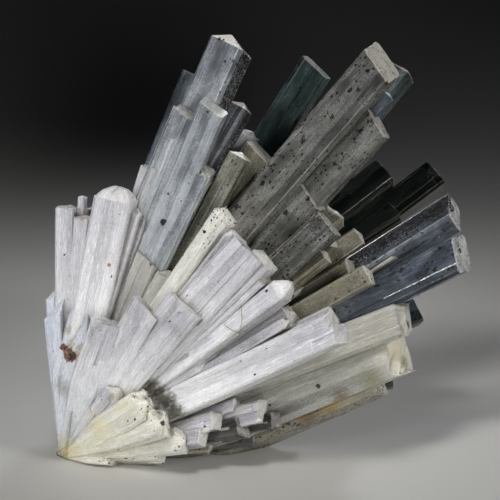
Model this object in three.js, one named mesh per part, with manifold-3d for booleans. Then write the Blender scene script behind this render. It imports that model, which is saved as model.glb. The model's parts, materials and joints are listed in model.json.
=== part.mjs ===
// A natrolite specimen: a spray of prisms that all start from one growth point low on the left, fan out
// up, right and back, and are grown together into one solid. It stands on the flat cut under the spray.
// Millimetres and degrees. +Z is up, +X to the right of the photograph, +Y away from the viewer.
// The origin is the middle of the foot of the bounding box.
import * as THREE from "three";
import { mergeVertices } from "three/addons/utils/BufferGeometryUtils.js";
import Module from "manifold-3d";

// Driving dimensions
const VIEW_ELEVATION = 16; // the crystals are placed as seen from this height above the horizon
const GROWTH_POINT = [-28, -12, 0.4]; // where every crystal starts
const FOOT_SHARE = 0.32; // a prism's width at the growth point, as a share of its full width
const WAIST_AT = 0.5; // share of the length at which it has nearly its full width
const WAIST_SHARE = 0.95;
const PRISM_SIDES = 8; // four broad faces and four narrow ones between them
const BEVEL = 0.36; // how far the narrow faces cut into the nearly square section
const CUT_DEPTH = 40; // thickness of the block that is cut away under the foot
const CUT_SPAN = 200; // and its width, well past the spray on every side

// Places are [right, up, toward] from the growth point, in the plane of the photograph.
// A row is: root, tip, wide, deep, turn, peak [across, toward], pitch. wide and deep are the extents of the
// section once it is turned, peak is the place of the end's highest point as a share of them, and pitch is
// the fall of the end faces away from that point.
const CRYSTALS = {
  tall_left: [[0.6, 5.4, 0.3], [24.8, 60.4, 3.4], 6.6, 5.8, 20, [-0.1, 0.1], 0.46],
  tall_left_back: [[-0.7, 6.5, -2.7], [19.1, 55.6, -9.2], 4.8, 4.6, 10, [-0.3, 0], 0.15],
  left_step: [[0.1, -0.1, 0], [22, 50.8, 7.3], 3.6, 3.2, 8, [0, 0.1], 0.3],
  left_plate: [[-0.6, 6, 0.7], [18.6, 50, 6.5], 4.2, 3, 12, [0.1, 0], 0.3],
  left_stub: [[-0.5, 0.2, 0], [12.5, 42.1, 0.8], 2.8, 3.4, 15, [-0.2, 0], 0.2],
  left_right_column: [[0.2, 6.5, -0.1], [25.9, 51.1, -1], 3.9, 4.4, 30, [0, 0.1], 0.42],
  greenish_column: [[1.6, -0.9, 0], [25.7, 43.7, 4.4], 3.5, 3.6, 15, [0, 0], 0.3],
  pale_behind: [[-0.6, 0.3, 0], [27, 47.6, -5], 3.8, 4, 20, [0.1, 0], 0.3],
  shade_d: [[0, 0, 0], [21.5, 37.6, -2.5], 4.6, 4.4, 15, [0, 0], 0.25],
  dark_back: [[0.6, -0.4, 0], [37.6, 58.4, -16], 5.4, 5, 30, [-0.1, 0], 0.26],
  right_back: [[1.2, -1, 0], [50, 57.2, -14.7], 5.3, 4.8, 20, [0.1, 0], 0.36],
  dark_right_a: [[3.8, 7.6, -2.6], [48.2, 41.6, -22], 5.6, 5, 25, [-0.1, 0], 0.4],
  dark_right_b: [[0, 0, 0], [56, 41.7, -25], 5.2, 5, 15, [0, 0], 0.4],
  dark_right_c: [[3.4, 6, -1.9], [49.4, 35.5, -18.6], 3.8, 3.8, 35, [0, 0], 0.35],
  back_lump: [[0.6, -0.7, 0], [40.2, 35.4, -9.4], 4, 4.4, 20, [0, 0], 0.2],
  green_back_a: [[0, 0, 0], [52.2, 20.6, -13.9], 4.2, 4.4, 10, [0.1, 0], 0.2],
  green_back_b: [[0, 0, 0], [48.1, 10.9, -6.9], 3.2, 4, 20, [0.1, 0], 0.3],
  main_right: [[2.1, 6.1, 0.1], [47.2, 58.3, 1.3], 5.8, 5.8, 28, [-0.07, 0.1], 0.44],
  second_right: [[0.2, -0.4, -1.5], [46.4, 49.7, -2.7], 6, 5.2, 35, [0, 0], 0.4],
  small_between: [[0, 0, 0], [47.2, 52.5, -1.8], 2, 2.6, 10, [0, 0], 0.3],
  clear_upper: [[0.2, -0.2, 0], [57.5, 35.8, -1.2], 5.7, 5.2, 35, [0, 0.1], 0.36],
  clear_lower: [[-0.3, 0.7, 0], [58.5, 29.8, 4.6], 5.5, 5, 28, [0.15, 0.1], 0.36],
  pale_step: [[-0.4, 0.8, 0], [44.2, 26.5, 8.2], 2.8, 3, 15, [0, 0], 0.3],
  centre_column: [[1.1, -1.2, 0], [38.4, 33.7, 8.1], 4.8, 5, 12, [-0.2, 0], 0.14],
  centre_brown: [[0.2, -0.3, 0], [37.9, 29.3, 6.7], 3, 3.6, 30, [0, 0], 0.3],
  centre_back: [[-0.8, 1.2, 0], [43.2, 32, -2.8], 3, 3.6, 20, [0, 0], 0.3],
  pale_column: [[-0.3, 0.2, 0], [23.8, 35.1, 13], 3.8, 4.2, 30, [0.1, 0], 0.3],
  white_front_a: [[0, 0, 0], [25.2, 31.7, 16.4], 3.4, 4, 10, [0, 0], 0.2],
  white_front_b: [[0, 0, 0], [27.4, 30.3, 17.2], 6.2, 4.8, 10, [0, 0], 0.12],
  white_front_c: [[0, 0, 0], [29.4, 28.8, 17], 4.4, 4.2, 20, [0, 0], 0.2],
  white_front_d: [[0, 0, 0], [29, 26.6, 16], 3.6, 4, 15, [0, 0], 0.25],
  rounded_front: [[-0.4, 0.6, 0], [32.8, 25.2, 17.6], 3.8, 4, 25, [0, 0], 0.45],
  grey_stub: [[0, 0, 0], [33.4, 21, 13.6], 4, 4, 10, [0, 0], 0.2],
  small_pale: [[0, 0, 0], [32.5, 20, 15.4], 1.8, 2.4, 15, [0, 0], 0.3],
  long_front_upper: [[-0.7, 1.4, 0], [38.6, 20.3, 16.8], 3.2, 4.4, 10, [0.2, 0], 0.2],
  long_front_lower: [[0.4, -0.8, 0], [40, 18.4, 16.9], 3.2, 4.6, 20, [-0.1, 0], 0.3],
  lower_right_upper: [[-0.3, 0.8, 0], [50.2, 20.5, 5.6], 4.6, 4.6, 15, [0, 0], 0.2],
  lower_right_main: [[2.7, -5, -5], [50.4, 17.2, 1.6], 6.4, 6.6, 10, [0, 0], 0.2],
  lower_right_low: [[4.2, -8, -6], [47.9, 12.5, -3], 4.8, 6, 25, [0, 0], 0.3],
  under_a: [[1, -2.4, -6], [37, 7.4, -6], 4.4, 6, 15, [0, 0], 0.4],
  under_b: [[-0.1, 0.6, -3], [28.5, 3.2, -3], 3.4, 5, 10, [0, 0], 0.3],
  cluster_a: [[0.1, -0.4, 0], [29.4, 7.5, 8.7], 2.4, 3, 10, [0, 0], 0.15],
  cluster_b: [[0, 0, 0], [26.8, 5.4, 10], 1.8, 2.4, 20, [0, 0], 0.2],
  cluster_c: [[0, 0, 0], [23.3, 6.9, 10.8], 2.4, 2.8, 15, [0, 0], 0.2],
  cluster_d: [[0, 0, 0], [20.4, 4.6, 11.1], 2, 2.6, 25, [0, 0], 0.2],
  apex_fan_a: [[0, 0, 0], [12.5, 8.3, 11.7], 5, 3.8, 10, [0, 0], 0.2],
  apex_fan_b: [[0, 0, 0], [14.9, 5.6, 12], 4.6, 4, 20, [0, 0], 0.2],
  apex_fan_c: [[0, 0, 0], [17.8, 2.8, 9], 4.2, 4, 15, [0, 0], 0.2],
  apex_fan_d: [[0, 0, 0], [15, 0.8, 5], 3.6, 4, 25, [0, 0], 0.3],
  apex_fan_e: [[0, 0, 0], [8, 0, 4], 3, 3.4, 10, [0, 0], 0.3],
  apex_fan_f: [[0, 0, 0], [22, 1.6, 1], 3, 4.4, 15, [0, 0], 0.3],
  left_column_a: [[0, 0, 0], [0.4, 36.3, 2.5], 3.2, 4.4, 10, [-0.3, 0], 0.1],
  left_column_b: [[0, 0, 0], [3.1, 34.9, 3.7], 3.2, 4.2, 20, [0, 0], 0.12],
  left_column_c: [[-0.2, 2, 0], [-1.4, 25.6, 0.9], 3, 4, 15, [0, 0], 0.3],
  left_column_d: [[0.2, 1, 0], [-1.4, 23.2, 3.2], 3.4, 4.4, 25, [0, 0], 0.3],
  left_front_a: [[0, 0, 0], [1.2, 20, 6.4], 4.4, 4.4, 12, [0, 0], 0.15],
  left_front_b: [[0, 0, 0], [3.6, 18, 8.2], 4.4, 4.2, 20, [0, 0], 0.15],
  small_clear: [[0, 0, 0], [2.7, 37.6, 0.7], 1.6, 1.6, 30, [0, 0], 0.3],
  left_back_a: [[0, 0, 0], [0.8, 36.6, -1.9], 2.2, 3.4, 10, [0, 0], 0.2],
  left_back_b: [[0, 0, 0], [4, 36.3, -1.3], 2.2, 3.4, 20, [0, 0], 0.2],
  white_column_a: [[0, 0, 0], [6.6, 37.8, 6], 3.4, 4.4, 10, [0.1, 0], 0.2],
  white_column_b: [[0, 0, 0], [8.5, 39, 6.8], 5.2, 5, 14, [0, 0], 0.18],
  white_column_c: [[0, 0, 0], [10.4, 37.2, 5.8], 4.2, 4.6, 25, [-0.1, 0], 0.25],
  white_column_d: [[0, 0, 0], [11.5, 35.5, 4.6], 2.6, 4, 10, [0, 0], 0.3],
  shade_a: [[0, 0, 0], [12.8, 29.4, 2.8], 3.8, 4, 20, [0, 0], 0.3],
  shade_b: [[0, 0, 0], [9.5, 28, 2.1], 3.2, 4, 30, [0, 0], 0.2],
  shade_c: [[0, 0, 0], [14.7, 25.5, 5.2], 3.2, 4, 10, [0, 0], 0.3],
  front_stub_a: [[0, 0, 0], [13.2, 22.7, 13.4], 5.2, 4.8, 20, [0, 0], 0.45],
  front_stub_b: [[0, 0, 0], [18.5, 22.7, 15], 6.4, 4.6, 10, [0, 0], 0.12],
  front_stub_c: [[0, 0, 0], [7.6, 20.3, 10.4], 5.8, 5, 15, [0, 0], 0.12],
  step_a: [[0, 0, 0], [8.5, 10.2, 9.2], 3.4, 3.4, 10, [0, 0], 0.2],
  step_b: [[0, 0, 0], [10.8, 10.2, 10.4], 3.4, 3.4, 25, [0, 0], 0.2],
};

// Crystals that no row lists are spread evenly by golden fractions over a range of two angles. FILL and
// FRONT close the heart of the spray: fan is the angle from the right, upward, and lean the angle toward
// the viewer. BACK is the far side: turn is the angle from the right to straight back, and rise the angle
// above the ground.
const FILL = { count: 16, first: [24, 76], second: [-40, 20], length: [20, 26], width: [7.5, 9] };
const FRONT = { count: 18, first: [16, 70], second: [16, 34], length: [16, 24], width: [3.8, 4.8] };
const BACK = { count: 26, first: [14, 84], second: [2, 60], length: [28, 38], width: [4.2, 5.8] };
const SPREAD_SIDES = 6;
const SPREAD_DEPTH = 0.9; // depth of these crystals as a share of their width
const SPREAD_TURN = 60; // the most that one is turned about its axis
const SPREAD_PITCH = 0.3;
const GOLDEN = [0.6180339887, 0.7548776662, 0.5698402910, 0.8191725134]; // even steps that never repeat

const wasm = await Module();
wasm.setup();

function solidOf(geometry) {
  const bare = new THREE.BufferGeometry();
  bare.setAttribute("position", geometry.getAttribute("position"));
  if (geometry.index) bare.setIndex(geometry.index);
  const merged = mergeVertices(bare, 1e-4);
  return new wasm.Manifold(
    new wasm.Mesh({
      numProp: 3,
      vertProperties: new Float32Array(merged.attributes.position.array),
      triVerts: new Uint32Array(merged.index.array),
    }),
  );
}

function geometryOf(solid) {
  const mesh = solid.getMesh();
  const geometry = new THREE.BufferGeometry();
  geometry.setAttribute("position", new THREE.BufferAttribute(mesh.vertProperties, 3));
  geometry.setIndex(new THREE.BufferAttribute(mesh.triVerts, 1));
  const faceted = geometry.toNonIndexed();
  faceted.computeVertexNormals();
  return faceted;
}

// The axes of the photograph's plane in the part's own frame
const tilt = THREE.MathUtils.degToRad(VIEW_ELEVATION);
const RIGHT = new THREE.Vector3(1, 0, 0);
const UP = new THREE.Vector3(0, Math.sin(tilt), Math.cos(tilt));
const TOWARD = new THREE.Vector3(0, -Math.cos(tilt), Math.sin(tilt));

function place([right, up, toward]) {
  return new THREE.Vector3(...GROWTH_POINT)
    .addScaledVector(RIGHT, right)
    .addScaledVector(UP, up)
    .addScaledVector(TOWARD, toward);
}

// The corners of a prism's section, turned about its axis and stretched to the wanted extents: a square with
// its corners cut off, or a regular outline
function sectionCorners(sides, turn, wide, deep) {
  const corners = [];
  for (let k = 0; k < sides; k++) {
    if (sides === PRISM_SIDES) {
      const quarter = (Math.floor(k / 2) * Math.PI) / 2;
      const side = k % 2 ? 1 - BEVEL : BEVEL - 1;
      corners.push(new THREE.Vector2(1, side).rotateAround(new THREE.Vector2(), quarter));
    } else {
      const angle = (2 * Math.PI * k) / sides;
      corners.push(new THREE.Vector2(Math.cos(angle), Math.sin(angle)));
    }
  }
  const middle = new THREE.Vector2();
  corners.forEach((c) => c.rotateAround(middle, THREE.MathUtils.degToRad(turn)));
  const reachX = Math.max(...corners.map((c) => Math.abs(c.x)));
  const reachY = Math.max(...corners.map((c) => Math.abs(c.y)));
  corners.forEach((c) => c.set((c.x / reachX) * (wide / 2), (c.y / reachY) * (deep / 2)));
  return corners;
}

// A prism from root to tip: narrow at the growth point, with a low pointed end. It is a cylinder of two
// stretches, whose rings at the foot, the waist and the shoulder are moved to where the prism has them.
function crystal([root, tip, wide, deep, turn, peak, pitch], sides = PRISM_SIDES) {
  const start = place(root);
  const axis = place(tip).sub(start);
  const length = axis.length();
  axis.normalize();
  const across = new THREE.Vector3().crossVectors(axis, TOWARD).normalize();
  const front = new THREE.Vector3().crossVectors(across, axis);
  const corners = sectionCorners(sides, turn, wide, deep);
  const highest = new THREE.Vector2(peak[0] * wide, peak[1] * deep);
  const shell = new THREE.CylinderGeometry(1, 1, 2, sides, 2);
  const position = shell.getAttribute("position");
  for (let i = 0; i < position.count; i++) {
    const ring = Math.round(position.getY(i));
    const onRim = Math.round(Math.hypot(position.getX(i), position.getZ(i))) === 1;
    const turned = Math.round((Math.atan2(position.getX(i), position.getZ(i)) * sides) / (2 * Math.PI));
    const corner = corners[(sides - turned) % sides];
    const at = new THREE.Vector2();
    let height = 0;
    if (ring === 1) {
      at.copy(onRim ? corner : highest);
      height = length - pitch * at.distanceTo(highest);
    } else if (ring === 0) {
      at.copy(corner).multiplyScalar(WAIST_SHARE);
      height = length * WAIST_AT;
    } else if (onRim) {
      at.copy(corner).multiplyScalar(FOOT_SHARE);
    }
    const point = start
      .clone()
      .addScaledVector(across, at.x)
      .addScaledVector(front, at.y)
      .addScaledVector(axis, height);
    position.setXYZ(i, point.x, point.y, point.z);
  }
  return solidOf(shell);
}

// A direction in the plane of the photograph with its lean, as [right, up, toward] of the given length
function leaning(fan, lean, length) {
  const flat = length * Math.cos(lean);
  return [flat * Math.cos(fan), flat * Math.sin(fan), length * Math.sin(lean)];
}

// The same for a direction given by its turn to the back and its rise above the ground
function rising(turn, rise, length) {
  const back = length * Math.cos(rise) * Math.sin(turn);
  const height = length * Math.sin(rise);
  return [
    length * Math.cos(rise) * Math.cos(turn),
    back * Math.sin(tilt) + height * Math.cos(tilt),
    height * Math.sin(tilt) - back * Math.cos(tilt),
  ];
}

// Crystals spread over a range of directions without listing each one
function spread({ count, first, second, length, width, direction }) {
  const made = [];
  for (let k = 1; k <= count; k++) {
    const shares = GOLDEN.map((fraction) => (k * fraction) % 1);
    const between = ([low, high], share) => low + (high - low) * share;
    const firstAngle = THREE.MathUtils.degToRad(between(first, shares[0]));
    const secondAngle = THREE.MathUtils.degToRad(between(second, shares[1]));
    const tip = direction(firstAngle, secondAngle, between(length, shares[2]));
    const wide = between(width, shares[3]);
    const turn = SPREAD_TURN * shares[3];
    made.push(crystal([[0, 0, 0], tip, wide, wide * SPREAD_DEPTH, turn, [0, 0], SPREAD_PITCH], SPREAD_SIDES));
  }
  return made;
}

function spray() {
  const pieces = [
    ...Object.values(CRYSTALS).map((row) => crystal(row)),
    ...spread({ ...FILL, direction: leaning }),
    ...spread({ ...FRONT, direction: leaning }),
    ...spread({ ...BACK, direction: rising }),
  ];
  const grown = pieces.reduce((sum, piece) => sum.add(piece));
  const block = new THREE.BoxGeometry(CUT_SPAN, CUT_SPAN, CUT_DEPTH).translate(0, 0, -CUT_DEPTH / 2);
  const shells = grown.subtract(solidOf(block)).decompose();
  // The outer shell alone: pockets closed in between the crystals are filled
  return shells.reduce((largest, shell) => (shell.volume() > largest.volume() ? shell : largest));
}

const natrolite = new THREE.MeshStandardMaterial({ color: 0xd9dbe0, roughness: 0.3, metalness: 0 });

const specimen = new THREE.Group();
const sprayMesh = new THREE.Mesh(geometryOf(spray()), natrolite);
sprayMesh.name = "natrolite_spray";
specimen.add(sprayMesh);

export default specimen;
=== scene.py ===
# A natrolite specimen: a spray of prisms, milky where they grow together and clear toward their ends, that
# stands on the flat cut under its growth point.
# Sizes here are millimetres in the part's own frame, and every mesh is written in metres.
import json
import math
from functools import partial

import bpy
import numpy as np
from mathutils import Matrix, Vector
from mathutils.bvhtree import BVHTree

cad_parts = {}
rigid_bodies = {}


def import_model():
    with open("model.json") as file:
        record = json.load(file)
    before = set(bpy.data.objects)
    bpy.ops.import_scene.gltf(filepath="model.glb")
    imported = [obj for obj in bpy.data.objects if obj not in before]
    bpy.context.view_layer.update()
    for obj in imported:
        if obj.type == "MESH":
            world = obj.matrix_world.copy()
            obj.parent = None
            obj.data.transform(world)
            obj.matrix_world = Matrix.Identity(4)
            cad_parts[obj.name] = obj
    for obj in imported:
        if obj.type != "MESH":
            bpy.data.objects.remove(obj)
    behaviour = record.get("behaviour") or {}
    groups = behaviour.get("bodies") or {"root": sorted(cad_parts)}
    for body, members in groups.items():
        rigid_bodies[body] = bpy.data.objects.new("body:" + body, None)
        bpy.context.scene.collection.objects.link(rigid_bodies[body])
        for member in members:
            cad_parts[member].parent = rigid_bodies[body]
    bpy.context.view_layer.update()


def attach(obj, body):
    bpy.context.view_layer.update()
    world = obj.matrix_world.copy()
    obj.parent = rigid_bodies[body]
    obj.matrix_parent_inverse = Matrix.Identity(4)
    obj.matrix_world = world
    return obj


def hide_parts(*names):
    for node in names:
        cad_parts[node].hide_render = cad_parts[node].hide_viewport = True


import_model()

MM = 0.001
SEED = 7

# Where the spray grows from, and the axes of the photograph's plane
VIEW_ELEVATION = math.radians(16)
GROWTH_POINT = np.array([-28.0, -12.0, 0.4])
RIGHT = np.array([1.0, 0.0, 0.0])
UP = np.array([0.0, math.sin(VIEW_ELEVATION), math.cos(VIEW_ELEVATION)])
TOWARD = np.array([0.0, -math.cos(VIEW_ELEVATION), math.sin(VIEW_ELEVATION)])

# The photograph's frame of 500 by 500 pixels
FRAME_PIXELS = 500
GROWTH_PIXEL = (65, 455)
PIXEL_SIZE = 0.145  # millimetres to a pixel in the plane of the growth point
CAMERA_DISTANCE = 400.0
CAMERA_CLIP = (0.01, 10)  # in metres

# A prism's form. It is the solid's, with a sharper bevel.
FOOT_SHARE = 0.32  # width at the growth point, as a share of the full width
WAIST_AT = 0.5  # share of the length at which it has nearly its full width
WAIST_SHARE = 0.95
BEVEL = 0.2  # how far the narrow faces cut into the nearly square section

# Finishes. The colour and the clarity run from the first to the second value between two shares of the
# crystal's length. grains is how many it carries on its faces, end_grains how many more lie about its end,
# and pale how far its end faces and edges go toward bruised crystal's colour and a painted highlight.
FINISH_KEYS = ("colours", "clarity", "between", "grains", "end_grains", "pale")
FINISHES = {
    "white": (("#FBFCFF", "#D2D2D8"), (0.05, 0.34), (0.3, 1.0), 0.01, 0.0, 0.2),
    "cool_white": (("#EEF3FF", "#E0E5F5"), (0.05, 0.28), (0.3, 1.0), 0.01, 0.0, 0.2),
    "pearl": (("#DDDCE2", "#C6C5CC"), (0.16, 0.45), (0.3, 1.0), 0.02, 0.05, 0.5),
    "ivory": (("#EFECE0", "#F4F3EB"), (0.12, 0.32), (0.3, 0.9), 0.02, 1.3, 0.4),
    "cream": (("#AEAEA9", "#BCBBB4"), (0.45, 0.25), (0.35, 0.95), 0.02, 0.1, 0.4),
    "rusty": (("#8E8B82", "#A8A493"), (0.42, 0.4), (0.4, 0.95), 0.1, 0.5, 0.3),
    "ochre": (("#FCF9E6", "#FAF8EE"), (0.05, 0.15), (0.3, 1.0), 0.01, 0.4, 0.15),
    "drab": (("#9E9B88", "#A6A393"), (0.28, 0.5), (0.3, 1.0), 0.12, 0.15, 0.4),
    "olive": (("#8D8A7B", "#8F8C7E"), (0.24, 0.48), (0.3, 1.0), 0.15, 0.2, 0.4),
    "smoky": (("#86847E", "#757575"), (0.5, 0.75), (0.3, 1.0), 0.15, 0.2, 0.3),
    "bluish": (("#DADCDE", "#8E949E"), (0.12, 0.6), (0.4, 1.0), 0.12, 0.1, 0.75),
    "pale_blue": (("#C2C6CA", "#9FA5AD"), (0.16, 0.5), (0.3, 1.0), 0.03, 0.1, 0.35),
    "blue_clear": (("#A6ADB6", "#8E99A6"), (0.4, 0.8), (0.3, 0.8), 0.1, 0.0, 0.3),
    "speckled": (("#787463", "#7F807E"), (0.32, 0.58), (0.3, 0.7), 0.85, 0.1, 0.45),
    "water_clear": (("#8E8C7C", "#97A1B1"), (0.4, 0.84), (0.4, 0.8), 0.2, 0.5, 0.5),
    "greenish": (("#8F8D7C", "#85867A"), (0.28, 0.55), (0.3, 0.8), 0.2, 0.2, 0.4),
    "dark_green": (("#7A857F", "#4A5B5C"), (0.4, 0.68), (0.3, 0.8), 0.1, 0.1, 0.4),
    "black_green": (("#363D39", "#323A36"), (0.5, 0.8), (0.3, 0.8), 0.05, 0.0, 0.25),
}
FINISHES = {name: dict(zip(FINISH_KEYS, row)) for name, row in FINISHES.items()}
BRUISE_AND_HIGHLIGHT = "#EFECE4"  # pale colour of crystal with tiny breaks along edges and on etched end faces, and a painted highlight there

# Forms. plate is the width of the plates that stand side by side on a broad face and step the most that one
# lies below its neighbour; ragged is how far they end below the tip, rough the unevenness of the end face,
# rounding how far that is worn down, and riders the number of thin crystals grown along the faces.
FORM_KEYS = ("sides", "plate", "step", "ragged", "rough", "rounding", "riders")
FORMS = {
    "clean": (8, 1.2, 0.05, 0.0, 0.0, 0, 0),
    "striped": (8, 0.8, 0.12, 0.5, 0.3, 0, 5),
    "blocky": (8, 1.1, 0.08, 0.15, 0.22, 0, 4),
    "broken": (8, 1.3, 0.06, 0.3, 0.6, 0, 0),
    "chipped": (8, 1.5, 0.06, 0.5, 1.4, 0, 0),
    "rounded": (8, 1.2, 0.04, 0.0, 0.55, 1.0, 4),
    "needle": (6, 0, 0, 0.0, 0.12, 0, 0),
    "filler": (6, 0, 0, 0.0, 0.4, 0, 0),
}
FORMS = {name: dict(zip(FORM_KEYS, row)) for name, row in FORMS.items()}

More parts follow.
